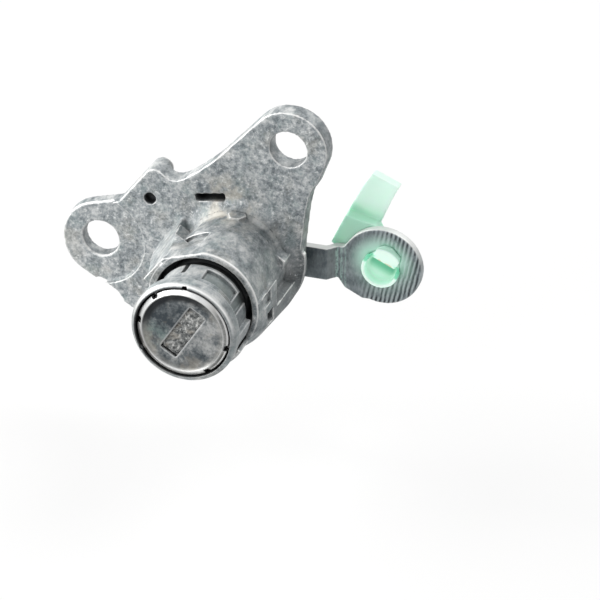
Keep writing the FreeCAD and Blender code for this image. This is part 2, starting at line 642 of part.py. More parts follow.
def lever():
    """Bent steel lever: hub on the plug's flats, joggled strip and round eye."""
    half = LEVER_STRIP_WIDTH / 2
    ex, ez = LEVER_EYE
    z0 = LEVER_STRIP_Z - half
    bend = LEVER_BEND
    step = LEVER_BEND + LEVER_BEND_RUN
    side = [V(0, LEVER_Y, z0), V(bend, LEVER_Y, z0), V(step, EYE_Y, z0), V(ex, EYE_Y, z0),
            V(ex, EYE_BACK, z0), V(step - 0.4, EYE_BACK, z0), V(bend - 0.4, LEVER_BACK, z0),
            V(0, LEVER_BACK, z0)]
    strip = Part.Face(Part.makePolygon(side + [side[0]])).extrude(V(0, 0, 2 * half))
    hub = rod(LEVER_HUB_RADIUS, LEVER_Y, LEVER_BACK)
    neck = link((step + half - 0.5, LEVER_STRIP_Z), half, LEVER_EYE, LEVER_EYE_RADIUS, EYE_Y, EYE_BACK)
    heel = slab([(step, z0), (ex - 6.9, ez - 5.35), (ex - 3.6, ez - 7.0), (ex + 0.4, ez - 6.9),
                 (ex, ez - 3), (step + 1, z0 + 2)], EYE_Y, EYE_BACK)
    arm = joined([hub, strip, neck, heel])
    seat = rod(TAIL_RADIUS, LEVER_Y - 1, LEVER_BACK + 1)
    seat = seat.common(keyed(block(-9, 9, LEVER_Y - 1, LEVER_BACK + 1, -TAIL_FLAT, TAIL_FLAT)))
    return less(arm, [seat, rod(LEVER_HOLE_RADIUS, EYE_Y - 1, EYE_BACK + 1, ex, ez)]).removeSplitter()


def clip_axes(outline):
    """Outline given along the clip's arm and across it, placed at the lever's eye."""
    ex, ez = LEVER_EYE
    c = math.cos(math.radians(CLIP_ANGLE))
    s = math.sin(math.radians(CLIP_ANGLE))
    return [(ex + a * c - b * s, ez + a * s + b * c) for a, b in outline]


def rod_clip():
    """Nylon clip: neck in the lever's eye, split head, block and snap flap."""
    ex, ez = LEVER_EYE
    neck_r = LEVER_HOLE_RADIUS - CLIP_NECK_GAP
    y0 = EYE_BACK + CLIP_NECK_GAP
    y1 = y0 + CLIP_BLOCK
    front = EYE_Y - CLIP_CUP
    floor = EYE_Y - 0.1
    neck = rod(neck_r, floor, y0 + 0.5, ex, ez)
    base = rod(CLIP_BASE_RADIUS, y0, y0 + CLIP_BASE, ex, ez)
    foot = slab(clip_axes(CLIP_BLOCK_OUTLINE), y0, y1)
    flap = slab(clip_axes(CLIP_FLAP_OUTLINE), y1 - 0.4, y1 + CLIP_FLAP)
    lug = slab(clip_axes(CLIP_LUG_OUTLINE), EYE_Y - CLIP_LUG, floor)
    deep = front + CLIP_CUP_DEPTH
    lower = slab(clip_axes([(CLIP_SPLIT, -6), (CLIP_SPLIT, 6), (-6, 6), (-6, -6)]), front - 1, deep)
    cup = rod(CLIP_CUP_RADIUS, front, floor, ex, ez).common(lower)
    hollow = rod(CLIP_CUP_RADIUS - CLIP_CUP_WALL, front - 1, deep, ex, ez).common(lower)
    body = joined([neck, base, foot, flap, lug, cup])
    return less(body, [rod(CLIP_ROD_RADIUS, deep + CLIP_FLOOR, y1 + 9, ex, ez), hollow]).removeSplitter()


def e_clip():
    """Open retaining clip in the groove of the plug's tail."""
    inner = TAIL_RADIUS - 1.4
    back = LEVER_BACK + 0.02 + ECLIP_SHEET
    ring = prism(TAIL_RADIUS + 1.2, 20, LEVER_BACK + 0.02, back).cut(rod(inner, LEVER_BACK - 1, back + 1))
    mouth = block(0, 9, LEVER_BACK - 1, LEVER_BACK + 2, -inner + 0.5, inner - 0.5)
    return ring.cut(turned_copy(mouth, 210))


def washer():
    """Thrust washer between the housing's boss and the lever."""
    inner = prism(TAIL_RADIUS + RUNNING_GAP, 24, BOSS_BACK - 1, LEVER_Y + 1)
    return prism(BOSS_RADIUS, 24, BOSS_BACK + 0.02, LEVER_Y - 0.02).cut(inner)


def return_spring():
    """Torsion spring round the rear boss, as its closed envelope."""
    inner = prism(BOSS_RADIUS + 0.15, 24, PLATE_BACK - 1, LEVER_Y + 1)
    return prism(BOSS_RADIUS + 1.1, 24, PLATE_BACK, LEVER_Y - 0.25).cut(inner)


def main():
    """Build and write every piece."""
    os.makedirs("parts", exist_ok=True)
    export("housing", housing())
    export("cylinder_sleeve", sleeve())
    export("plug", plug())
    export("face_cap", face_cap())
    export("shutter", shutter())
    export("shutter_pin", shutter_pin())
    export("shutter_spring", shutter_spring())
    for i in range(WAFER_COUNT):
        export("wafer_%d" % (i + 1), wafer(i))
        export("wafer_spring_%d" % (i + 1), wafer_spring(i))
    export("lever", lever())
    export("rod_clip", rod_clip())
    export("e_clip", e_clip())
    export("thrust_washer", washer())
    export("return_spring", return_spring())


main()
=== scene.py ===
import logging
import math
from dataclasses import dataclass, replace
from enum import Enum
from typing import Optional, Protocol, Sequence, Union

import bpy
import numpy as np
from mathutils import Matrix, Vector

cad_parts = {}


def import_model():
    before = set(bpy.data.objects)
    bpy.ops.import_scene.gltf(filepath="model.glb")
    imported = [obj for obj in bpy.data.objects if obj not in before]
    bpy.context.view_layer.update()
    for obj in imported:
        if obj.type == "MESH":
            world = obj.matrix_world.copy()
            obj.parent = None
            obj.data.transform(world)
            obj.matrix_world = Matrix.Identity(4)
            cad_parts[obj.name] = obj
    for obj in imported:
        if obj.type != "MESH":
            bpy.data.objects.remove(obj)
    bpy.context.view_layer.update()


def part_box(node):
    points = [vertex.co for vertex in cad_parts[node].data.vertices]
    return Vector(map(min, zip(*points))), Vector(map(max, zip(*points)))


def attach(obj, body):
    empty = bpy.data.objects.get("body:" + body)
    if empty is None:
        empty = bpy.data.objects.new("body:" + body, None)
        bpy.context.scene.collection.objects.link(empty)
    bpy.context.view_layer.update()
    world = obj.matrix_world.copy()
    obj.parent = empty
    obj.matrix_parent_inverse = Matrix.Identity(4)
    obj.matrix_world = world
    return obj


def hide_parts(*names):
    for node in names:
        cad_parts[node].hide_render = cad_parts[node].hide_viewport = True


# Door lock cylinder of a car, dressed in metres in the frame of its CAD parts.
# The lock axis is Y, the lock face looks toward -Y, and +Z is up.
# Fields and arguments are in millimetres unless their docstring says metres.

LOG = logging.getLogger("lock")
MM = 0.001
MERGE_METRES = 0.000004
RELIEF = "relief"
RELIEF_REACH = 0.45
SMOOTHING = 0.5
KEYWAY_ANGLE = math.radians(57.0)
Number = Union[int, float]
Colour = tuple[float, float, float]
Place = tuple[float, float, float]
LEVER_EYE: Place = (24.0, 37.8, -2.5)
WHITE: Colour = (1.0, 1.0, 1.0)
BLACK: Colour = (0.0, 0.0, 0.0)


class Body(Enum):
    """Bodies of the lock that a new piece can ride on."""

    HOUSING = "housing_body"
    CORE = "core"
    CLIP = "clip_body"


class Slot(Enum):
    """Material slots of the record, one named for each new piece."""

    CAST_ZINC = "cast_zinc"
    TURNED_ZINC = "turned_zinc"
    PLUG_ZINC = "plug_zinc"
    STAINLESS = "stainless"
    PLAIN = "plain_steel"
    SPRING = "spring_steel"
    LEVER = "lever_steel"
    NYLON = "clear_nylon"


# Material recipes


class Wire:
    """One socket in a node tree, with arithmetic that adds Math nodes."""

    def __init__(self, sheet: "Sheet", socket: Optional[bpy.types.NodeSocket]) -> None:
        """Keep the sheet of nodes and the socket.

        Args:
            sheet: The sheet that the socket belongs to.
            socket: The output socket, if there is one.
        """
        self.sheet = sheet
        self.socket = socket

    def _math(self, operation: str, first: "Wire | Number", second: "Wire | Number") -> "Wire":
        """Add one Math node.

        Args:
            operation: Name of the operation.
            first: First value.
            second: Second value.

        Returns:
            The node's output.
        """
        return self.sheet.node("ShaderNodeMath", {"operation": operation}, {0: first, 1: second})

    def __add__(self, other: "Wire | Number") -> "Wire":
        """Sum."""
        return self._math("ADD", self, other)

    def __radd__(self, other: Number) -> "Wire":
        """Sum with the number first."""
        return self._math("ADD", other, self)

    def __sub__(self, other: "Wire | Number") -> "Wire":
        """Difference."""
        return self._math("SUBTRACT", self, other)

    def __rsub__(self, other: Number) -> "Wire":
        """Difference with the number first."""
        return self._math("SUBTRACT", other, self)

    def __mul__(self, other: "Wire | Number") -> "Wire":
        """Product."""
        return self._math("MULTIPLY", self, other)

    def __rmul__(self, other: Number) -> "Wire":
        """Product with the number first."""
        return self._math("MULTIPLY", other, self)

    def __pow__(self, other: Number) -> "Wire":
        """Power."""
        return self._math("POWER", self, other)

    def wave(self) -> "Wire":
        """Sine of the value."""
        return self._math("SINE", self, 0.0)

    def most(self, other: "Wire | Number") -> "Wire":
        """Greater of two values."""
        return self._math("MAXIMUM", self, other)

    def step(self, low: float, high: float) -> "Wire":
        """Smooth step from 0 at low to 1 at high.

        Args:
            low: Value where the result leaves 0.
            high: Value where the result reaches 1.

        Returns:
            The stepped value.
        """
        settings = {"interpolation_type": "SMOOTHSTEP"}
        inputs = {0: self, 1: low, 2: high, 3: 0.0, 4: 1.0}
        return self.sheet.node("ShaderNodeMapRange", settings, inputs)


class Sheet:
    """Node tree of one material, or of the world."""

    def __init__(self, name: str, world: bool = False) -> None:
        """Start an empty tree.

        Args:
            name: Name of the material or world.
            world: Whether it is a world.
        """
        self.data = (bpy.data.worlds if world else bpy.data.materials).new(name)
        self.data.use_nodes = True
        self.tree = self.data.node_tree
        self.tree.nodes.clear()

    def node(self, kind: str, settings: Optional[dict] = None, inputs: Optional[dict] = None,
             output: Union[int, str] = 0) -> Wire:
        """Add one node of any type.

        Args:
            kind: Type of the node.
            settings: Attributes set first; "stops" fills a ramp.
            inputs: Values, wires or colours by socket name or number.
            output: Name or number of the output to return.

        Returns:
            The chosen output; a node that ends the tree has none.
        """
        made = self.tree.nodes.new(kind)
        for key, value in (settings or {}).items():
            if key == "stops":
                self._fill_ramp(made.color_ramp, value)
            else:
                setattr(made, key, value)
        for key, value in (inputs or {}).items():
            socket = made.inputs[key]
            if isinstance(value, Wire):
                self.tree.links.new(value.socket, socket)
            else:
                socket.default_value = value
        return Wire(self, made.outputs[output] if made.outputs else None)

    @staticmethod
    def _fill_ramp(ramp: bpy.types.ColorRamp, stops: Sequence[tuple[float, Colour]]) -> None:
        """Give a ramp its stops.

        Args:
            ramp: The ramp.
            stops: Places and colours from low to high.
        """
        while len(ramp.elements) < len(stops):
            ramp.elements.new(1.0)
        for element, (place, colour) in zip(ramp.elements, stops):
            element.position = place
            element.color = (*colour, 1.0)

    def place(self, centre: Sequence[float] = (0, 0, 0), turn: Sequence[float] = (0, 0, 0),
              stretch: Sequence[float] = (1, 1, 1)) -> Wire:
        """Object coordinates in millimetres, centred and turned.

        Args:
            centre: Point that becomes the origin.
            turn: Rotation about X, Y and Z in radians.
            stretch: Factors on the turned axes.

        Returns:
            The coordinates.
        """
        point = self.node("ShaderNodeTexCoord", output="Object")
        moved = self.node("ShaderNodeMapping", {}, {
            "Vector": point, "Location": [-c for c in centre], "Scale": (1 / MM, 1 / MM, 1 / MM)})
        return self.node("ShaderNodeMapping", {}, {
            "Vector": moved, "Rotation": list(turn), "Scale": list(stretch)})

    def noise(self, place: Wire, size: float, detail: float = 4.0, rough: float = 0.55,
              twist: float = 0.0) -> Wire:
        """Noise from 0 to 1.

        Args:
            place: Coordinates.
            size: Size of the largest lumps.
            detail: Number of finer layers.
            rough: Weight of the finer layers.
            twist: Distortion.

        Returns:
            The noise value.
        """
        return self.node("ShaderNodeTexNoise", {}, {
            "Vector": place, "Scale": 1.0 / size, "Detail": detail, "Roughness": rough,
            "Distortion": twist})

    def ramp(self, value: Wire, stops: Sequence[tuple[float, Colour]]) -> Wire:
        """Colour from a value.

        Args:
            value: Value from 0 to 1.
            stops: Places and colours from low to high.

        Returns:
            The colour.
        """
        return self.node("ShaderNodeValToRGB", {"stops": stops}, {0: value})

    def tint(self, share: "Wire | float", low: "Wire | Colour", high: "Wire | Colour") -> Wire:
        """Mix of two colours.

        Args:
            share: Share of the second colour.
            low: First colour.
            high: Second colour.

        Returns:
            The mixed colour.
        """
        first = low if isinstance(low, Wire) else (*low, 1.0)
        second = high if isinstance(high, Wire) else (*high, 1.0)
        return self.node("ShaderNodeMix", {"data_type": "RGBA", "clamp_factor": True},
                         {0: share, 6: first, 7: second}, output=2)

    def relief(self) -> Wire:
        """Height above the smoothed surroundings, as mark_relief stored it."""
        return self.node("ShaderNodeAttribute", {"attribute_name": RELIEF}, output="Fac")

    def edges(self, low: float, high: float) -> Wire:
        """Mask that is 1 on raised edges.

        Args:
            low: Height where the mask starts.
            high: Height where it is full.

        Returns:
            The mask.
        """
        return self.relief().step(low, high)

    def roots(self, low: float, high: float) -> Wire:
        """Mask that is 1 in sharp inner corners.

        Args:
            low: Depth where the mask starts.
            high: Depth where it is full.

        Returns:
            The mask.
        """
        return (self.relief() * -1.0).step(low, high)

    def hollow(self, reach: float) -> Wire:
        """Mask that grows to 1 in gaps, holes and corners.

        Args:
            reach: Distance within which other faces shade.

        Returns:
            The mask.
        """
        return 1 - self.node("ShaderNodeAmbientOcclusion", {"samples": 8},
                             {"Distance": reach * MM}, output="AO")

    def reach(self, centre: Sequence[float] = (0, 0, 0),
              stretch: Sequence[float] = (1, 1, 1)) -> Wire:
        """Distance from a point.

        Args:
            centre: The point.
            stretch: Weight of each axis; 0 leaves it out.

        Returns:
            The distance.
        """
        offset = self.place(centre, stretch=stretch)
        return self.node("ShaderNodeVectorMath", {"operation": "LENGTH"}, {0: offset},
                         output="Value")

    def radius(self, centre: Sequence[float] = (0, 0, 0)) -> Wire:
        """Distance from a line along the lock axis."""
        return self.reach(centre, (1, 0, 1))

    def along(self, axis: str, turn: Sequence[float] = (0, 0, 0),
              centre: Sequence[float] = (0, 0, 0)) -> Wire:
        """One coordinate.

        Args:
            axis: X, Y or Z.
            turn: Rotation about X, Y and Z in radians.
            centre: Point that becomes the origin.

        Returns:
            The coordinate.
        """
        return self.node("ShaderNodeSeparateXYZ", {}, {0: self.place(centre, turn)}, output=axis)

    def facing(self, axis: str) -> Wire:
        """Share of the normal along an axis, from -1 to 1."""
        normal = self.node("ShaderNodeTexCoord", output="Normal")
        return self.node("ShaderNodeSeparateXYZ", {}, {0: normal}, output=axis)

    def bump(self, height: Wire, depth: float, strength: float = 1.0) -> Wire:
        """Normal from a height.

        Args:
            height: Height from 0 to 1.
            depth: Depth that a height of 1 stands for.
            strength: Strength of the effect.

        Returns:
            The normal.
        """
        return self.node("ShaderNodeBump", {}, {
            "Height": height, "Distance": depth * MM, "Strength": strength})

    def seen(self) -> Wire:
        """Mask that is 1 for the camera and for what metal and glass show.

        Returns:
            The mask.
        """
        camera = self.node("ShaderNodeLightPath", output="Is Camera Ray")
        glossy = self.node("ShaderNodeLightPath", output="Is Glossy Ray")
        through = self.node("ShaderNodeLightPath", output="Is Transmission Ray")
        return camera.most(glossy).most(through)

    def close(self, shader: Wire, kind: str = "ShaderNodeOutputMaterial") -> bpy.types.ID:
        """Lead a shader to the tree's output.

        Args:
            shader: The shader.
            kind: Type of the output node.

        Returns:
            The material or world.
        """
        self.node(kind, {}, {"Surface": shader})
        return self.data

    def finish(self, **sockets: "Wire | Number | Sequence[float]") -> bpy.types.Material:
        """End the material in one shader.

        Args:
            **sockets: Inputs of the shader, with underscores for spaces.

        Returns:
            The material.
        """
        inputs = {key.replace("_", " "): value for key, value in sockets.items()}
        return self.close(self.node("ShaderNodeBsdfPrincipled", {}, inputs))


class Finish(Protocol):
    """Recipe of one material."""

    def material(self) -> bpy.types.Material:
        """Build the material."""


@dataclass(frozen=True)
class CastZinc:
    """Die-cast zinc: matte grey, clumped grain and stains, with painted shade in gaps, corners
    and on its +X side, and bright edges that are part wear and part painted highlight.
    """

    name: str = "cast_zinc"
    dark: Colour = (0.125, 0.145, 0.158)
    middle: Colour = (0.305, 0.328, 0.338)
    light: Colour = (0.56, 0.57, 0.57)
    # Colour of the bright edges: part wear, part painted highlight.
    worn: Colour = (0.74, 0.74, 0.73)
    fleck: Colour = (0.74, 0.75, 0.75)
    warm: Colour = (0.42, 0.38, 0.31)
    cool: Colour = (0.20, 0.29, 0.29)
    # Colour of the painted shade on the +X side and the lower right flank.
    dirt_and_shade: Colour = (0.075, 0.084, 0.088)
    # Colour of the painted shade in sharp inner corners.
    root: Colour = (0.03, 0.034, 0.036)
    # Colour of the painted shade in gaps and hollows.
    gap_shade: Colour = (0.009, 0.010, 0.011)
    # Colour of the painted shade inside the barrel's mouth.
    inside: Colour = (0.010, 0.011, 0.012)
    mottle: float = 2.6
    grain: float = 0.85
    lengthwise: float = 0.68
    edge: tuple[float, float] = (0.022, 0.070)
    metallic: float = 0.42
    roughness: tuple[float, float] = (0.52, 0.74)
    stains: float = 0.22
    wear: float = 1.0
    flecks: float = 0.85
    line_radii: tuple[float, float] = (9.02, 10.02)
    mouth_depth: float = 11.4
    # Centre of the painted shade on the lower right flank.
    flank_shade_place: Place = (11.2, 25.0, -4.5)
    rust_place: Place = (-2.0, 29.0, 10.0)

    def material(self) -> bpy.types.Material:
        """Build the material.

        Returns:
            The material.
        """
        sheet = Sheet(self.name)
        place = sheet.place(stretch=(1.0, self.lengthwise, 1.0))
        clouds = sheet.noise(place, self.mottle, 4, 0.6)
        grain = sheet.noise(place, self.grain, 4, 0.68)
        specks = sheet.noise(place, self.grain * 0.4, 2, 0.5)
        flat = (sheet.facing("Y") ** 2.0).step(0.35, 0.85)
        grainy = 0.40 + flat * 0.26
        value = clouds * (1 - grainy) + (grain * 0.70 + specks * 0.30) * grainy
        colour = sheet.ramp(value, [(0.385, self.dark), (0.49, self.middle), (0.60, self.light)])
        colour = self.stained(sheet, colour, clouds)
        curl = sheet.noise(place, 1.1, 2, 0.5, 0.6) - 0.5
        fleck = (1 - (curl * curl).step(0.0, 0.0005)) * grain.step(0.50, 0.62)
        colour = sheet.tint(fleck * (0.25 + flat * 0.75) * self.flecks, colour, self.fleck)
        # Bright edges: wear broken up by noise, plus painted highlight that is strongest where an
        # edge faces up.
        rub = sheet.noise(place, 0.7, 3, 0.6).step(0.30, 0.55)
        upward = sheet.facing("Z").step(-0.45, 0.45)
        worn = sheet.edges(*self.edge) * (0.40 + rub * 0.60) * (0.30 + upward * 0.70) * self.wear
        colour = self.detail(sheet, sheet.tint(worn, colour, self.worn))
        # Painted shade in sharp inner corners.
        colour = sheet.tint(sheet.roots(0.03, 0.11) * 0.75, colour, self.root)
        # Painted shade in gaps and hollows, from occlusion near and far.
        near = sheet.hollow(0.8).step(0.30, 0.85)
        far = sheet.hollow(2.4).step(0.22, 0.84)
        colour = sheet.tint(far.most(near) * 0.95, colour, self.gap_shade)
        smooth, matte = self.roughness
        rough = smooth + grain * (matte - smooth) - worn * 0.14
        pits = grain * 0.5 + specks * 0.2 + sheet.noise(place, 1.3, 4, 0.6) * 0.3
        return sheet.finish(Base_Color=colour, Metallic=self.metallic, Roughness=rough,
                            Normal=sheet.bump(pits, 0.10, 0.8))

    def stained(self, sheet: Sheet, colour: Wire, clouds: Wire) -> Wire:
        """Lay warm and cool stains and rust over the metal, and paint shade on the side facing +X
        and on the lower right flank.

        Args:
            sheet: The material sheet.
            colour: The metal's colour.
            clouds: Noise that breaks up the rust and the painted shade.

        Returns:
            The stained colour, with its painted shade.
        """
        warm = sheet.noise(sheet.place((7, 0, 3)), 6.0, 3, 0.6).step(0.50, 0.68) * self.stains
        rust = (1 - sheet.reach(self.rust_place).step(2.0, 8.0)) * clouds.step(0.38, 0.60) * 0.55
        colour = sheet.tint(warm.most(rust), colour, self.warm)
        cool = sheet.noise(sheet.place((-5, 2, 9)), 4.0, 3, 0.6).step(0.50, 0.68) * self.stains
        colour = sheet.tint(cool, colour, self.cool)
        # Painted shade on faces turned to +X and on the lower right flank, broken up by noise.
        side = sheet.facing("X").step(0.35, 0.95) * 0.38
        spot = 1 - sheet.reach(self.flank_shade_place, (1.0, 0.4, 0.7)).step(2.0, 7.0)
        return sheet.tint(side.most(spot * (clouds * 0.6 + 0.40)), colour, self.dirt_and_shade)

    def detail(self, sheet: Sheet, colour: Wire) -> Wire:
        """Paint two highlight lines on the upper part of the barrel's mouth and paint shade on
        its inside.

        Args:
            sheet: The material sheet.
            colour: The metal's colour.

        Returns:
            The colour with the painted highlight lines and the painted shade inside.
        """
        inner, outer = self.line_radii
        radius = sheet.radius()
        depth = sheet.along("Y")
        upward = sheet.along("Z").step(-4.0, 3.0)
        front = 1 - depth.step(self.mouth_depth - 0.5, self.mouth_depth)
        # Painted highlight lines on the mouth's inner and outer front edges, upper part only.
        first = 1 - ((radius - inner) ** 2.0).step(0.001, 0.012)
        second = 1 - ((radius - outer) ** 2.0).step(0.001, 0.016)
        colour = sheet.tint(first.most(second) * front * upward * 0.85, colour, self.worn)
        # Painted shade on the inside of the mouth.
        inside = 1 - radius.step(inner - 0.15, inner)
        inside = inside * depth.step(self.mouth_depth - 0.5, self.mouth_depth + 0.3)
        inside = inside * (1 - depth.step(self.mouth_depth + 4.5, self.mouth_depth + 6.5))
        return sheet.tint(inside * 0.85, colour, self.inside)


@dataclass(frozen=True)
class SleeveZinc(CastZinc):
    """Zinc of the sleeve: paler, with a greenish tint and painted shade in the recesses, painted
    shade on the flange's left side, in the joint round the cap and behind the crown, and a
    painted highlight on the flange's upper front edge.
    """

    name: str = "turned_zinc"
    dark: Colour = (0.15, 0.17, 0.18)
    middle: Colour = (0.31, 0.335, 0.345)
    light: Colour = (0.50, 0.51, 0.51)
    # Colour of the painted highlight on the flange's upper front edge.
    lip_highlight: Colour = (0.90, 0.90, 0.89)
    shade: Colour = (0.18, 0.19, 0.19)
    # Greenish colour on the floors of the recesses: part tint, part painted shade.
    recess_tint_and_shade: Colour = (0.13, 0.165, 0.16)
    # Colour of the painted shade round the cap and behind the crown.
    seam_shade: Colour = (0.012, 0.013, 0.014)
    mottle: float = 3.0
    grain: float = 0.9
    metallic: float = 0.38
    roughness: tuple[float, float] = (0.50, 0.68)
    wear: float = 0.32
    flecks: float = 0.25
    recess_radius: float = 7.65
    seam_radius: float = 8.85
    # Depths where the painted shade behind the crown sets in.
    crown_end: tuple[float, float] = (10.2, 11.4)

    def detail(self, sheet: Sheet, colour: Wire) -> Wire:
        """Paint a greenish tint and shade in the recesses, shade on the flange's left side, in
        the joint round the cap and behind the crown, and a highlight on the flange's upper front
        edge.

        Args:
            sheet: The material sheet.
            colour: The metal's colour.

        Returns:
            The colour with its painted shade and highlight.
        """
        radius = sheet.radius()
        depth = sheet.along("Y")
        # Floors of the recesses: greenish tint with painted shade.
        sunk = 1 - radius.step(self.recess_radius - 0.2, self.recess_radius + 0.1)
        colour = sheet.tint(sunk * 0.5, colour, self.recess_tint_and_shade)
        # Painted highlight on the upper part of the flange's front edge.
        lip_highlight = radius.step(self.seam_radius + 0.05, self.seam_radius + 0.30)
        lip_highlight = lip_highlight * (1 - depth.step(0.35, 0.90)) * sheet.along("Z").step(-1.0, 6.0)
        colour = sheet.tint(lip_highlight, colour, self.lip_highlight)
        left = (sheet.along("X") * -1.0).step(6.5, 9.5)
        colour = sheet.tint(left * 0.55, colour, self.shade)
        # Painted shade behind the crown's end, inside the mouth.
        colour = sheet.tint(depth.step(*self.crown_end) * 0.75, colour, self.seam_shade)
        # Painted shade in the joint round the cap, strongest toward the upper right.
        upper = sheet.along("Z", (0, math.radians(40), 0)).step(-3.0, 3.0) * 0.6 + 0.4
        seam_shade = 1 - radius.step(self.seam_radius - 0.05, self.seam_radius + 0.10)
        seam_shade = seam_shade * (1 - depth.step(1.0, 1.6)) * upper
        return sheet.tint(seam_shade * 0.9, colour, self.seam_shade)


@dataclass(frozen=True)
class CapSteel:
    """Stainless cap: smoky disc with painted shadow at the upper left and under the bevel's top,
    a painted reflection round its edge and smears, in a polished bevel with painted highlights.
    """

    name: str = "stainless"
    dark: Colour = (0.040, 0.050, 0.058)
    middle: Colour = (0.125, 0.138, 0.145)
    light: Colour = (0.36, 0.365, 0.36)
    warm: Colour = (0.30, 0.27, 0.22)
    cool: Colour = (0.12, 0.20, 0.18)
    # Colour of the painted shadow under the top of the bevel.
    brow_shadow: Colour = (0.008, 0.010, 0.012)
    # Colour of the painted reflection round the disc's edge.
    ring: Colour = (0.36, 0.345, 0.315)
    # Unlit and lit copies of the bevel's metal, and its painted highlight.
    bevel_unlit: Colour = (0.30, 0.29, 0.27)
    bevel_lit: Colour = (0.68, 0.685, 0.68)
    smear: Colour = (0.34, 0.35, 0.36)
    bevel_highlight: Colour = (0.93, 0.93, 0.91)
    edge: Colour = (0.60, 0.605, 0.60)
    gap_shade: Colour = (0.008, 0.009, 0.010)
    disc_radius: float = 7.42
    # Centre of the painted shadow on the disc.
    shadow_place: Place = (-2.6, 0.0, 2.6)
    # Centre of the painted reflection on the disc.
    reflection_place: Place = (1.5, 0.0, 1.0)
    cool_place: Place = (-5.0, 0.0, -1.0)

    def material(self) -> bpy.types.Material:
        """Build the material.

        Returns:
            The material.
        """
        sheet = Sheet(self.name)
        place = sheet.place()
        smears = sheet.noise(place, 2.8, 6, 0.72, 0.3)
        fine = sheet.noise(place, 0.5, 3, 0.6)
        radius = sheet.radius()
        top = sheet.along("Z", (0, math.radians(25), 0)).step(0.5, 5.0)
        colour = self.disc(sheet, smears, fine)
        # Painted shadow under the upper part of the bevel.
        brow_shadow = radius.step(self.disc_radius - 1.9, self.disc_radius - 0.85) * top
        colour = sheet.tint(brow_shadow * 0.93, colour, self.brow_shadow)
        # Painted reflection: a pale ring round the disc's edge, left out at the top.
        ring = radius.step(self.disc_radius - 1.4, self.disc_radius - 0.4)
        colour = sheet.tint(ring * (1 - top) * 0.28, colour, self.ring)
        rim = self.bevel(sheet, radius, top)
        colour = sheet.tint(rim, colour, self.polished(sheet, smears, top))
        colour = sheet.tint(sheet.edges(0.02, 0.06) * 0.38, colour, self.edge)
        # Painted shade in gaps, from occlusion.
        gap_shade = sheet.hollow(1.0).step(0.22, 0.78)
        colour = sheet.tint(gap_shade * 0.93, colour, self.gap_shade)
        streaks = sheet.place(turn=(0, 0.5, 0), stretch=(0.2, 1.0, 7.0))
        height = sheet.noise(streaks, 1.2, 3, 0.7) * 0.4 + fine * 0.6
        return sheet.finish(Base_Color=colour, Metallic=0.68 + rim * 0.2,
                            Roughness=0.40 + fine * 0.25 - rim * 0.20,
                            Normal=sheet.bump(height, 0.035, 0.7))

    def disc(self, sheet: Sheet, smears: Wire, fine: Wire) -> Wire:
        """Colour of the smoky disc, with a painted shadow at the upper left, darker toward the
        bottom, a painted reflection right of the middle and a greenish place.

        Args:
            sheet: The material sheet.
            smears: Coarse noise.
            fine: Fine noise.

        Returns:
            The colour.
        """
        # Painted shadow at the upper left, darker toward the bottom, and a painted reflection
        # right of the middle.
        shadow = 1 - sheet.reach(self.shadow_place).step(1.5, 6.0)
        low = (sheet.along("Z") * -1.0).step(2.0, 5.0)
        pale = 1 - sheet.reach(self.reflection_place).step(1.0, 4.5)
        value = smears * 0.74 + fine * 0.26 - shadow * 0.12 - low * 0.055 + pale * 0.02 + 0.050
        colour = sheet.ramp(value, [(0.39, self.dark), (0.50, self.middle), (0.65, self.light)])
        warm = sheet.noise(sheet.place((3, 0, -4)), 3.5, 3, 0.6).step(0.52, 0.70) * 0.4
        colour = sheet.tint(warm, colour, self.warm)
        cool = (1 - sheet.reach(self.cool_place).step(0.8, 3.4)) * smears.step(0.40, 0.62) * 0.55
        return sheet.tint(cool, colour, self.cool)

    def bevel(self, sheet: Sheet, radius: Wire, top: Wire) -> Wire:
        """Mask of the bevel: crisp above, soft below and narrow at the right.

        Args:
            sheet: The material sheet.
            radius: Distance from the lock axis.
            top: Mask of the upper part.

        Returns:
            The mask.
        """
        crisp = radius.step(self.disc_radius - 0.05, self.disc_radius + 0.05)
        soft = radius.step(self.disc_radius - 0.45, self.disc_radius + 0.25)
        thin = radius.step(self.disc_radius + 0.45, self.disc_radius + 0.60)
        right = sheet.along("X", (0, math.radians(-8), 0)).step(4.6, 6.2)
        return (crisp * top + soft * (1 - top)) * (1 - right) + thin * right

    def polished(self, sheet: Sheet, smears: Wire, top: Wire) -> Wire:
        """Colour of the bevel: a lit copy with painted highlights above, below and at the right,
        an unlit copy elsewhere, and a painted highlight at the bottom.

        Args:
            sheet: The material sheet.
            smears: Coarse noise.
            top: Mask of the upper part.

        Returns:
            The colour.
        """
        bottom = (sheet.along("Z", (0, math.radians(12), 0)) * -1.0).step(2.5, 6.0)
        # Lit copy above, below and at the right, unlit copy elsewhere, painted highlight at the
        # bottom.
        bright = top.most(bottom).most(sheet.along("X").step(4.5, 7.0) * 0.8)
        bevel_lit = sheet.tint(bright, self.bevel_unlit, self.bevel_lit)
        bevel_lit = sheet.tint(smears.step(0.46, 0.70) * 0.4, bevel_lit, self.smear)
        return sheet.tint(bottom * 0.8, bevel_lit, self.bevel_highlight)


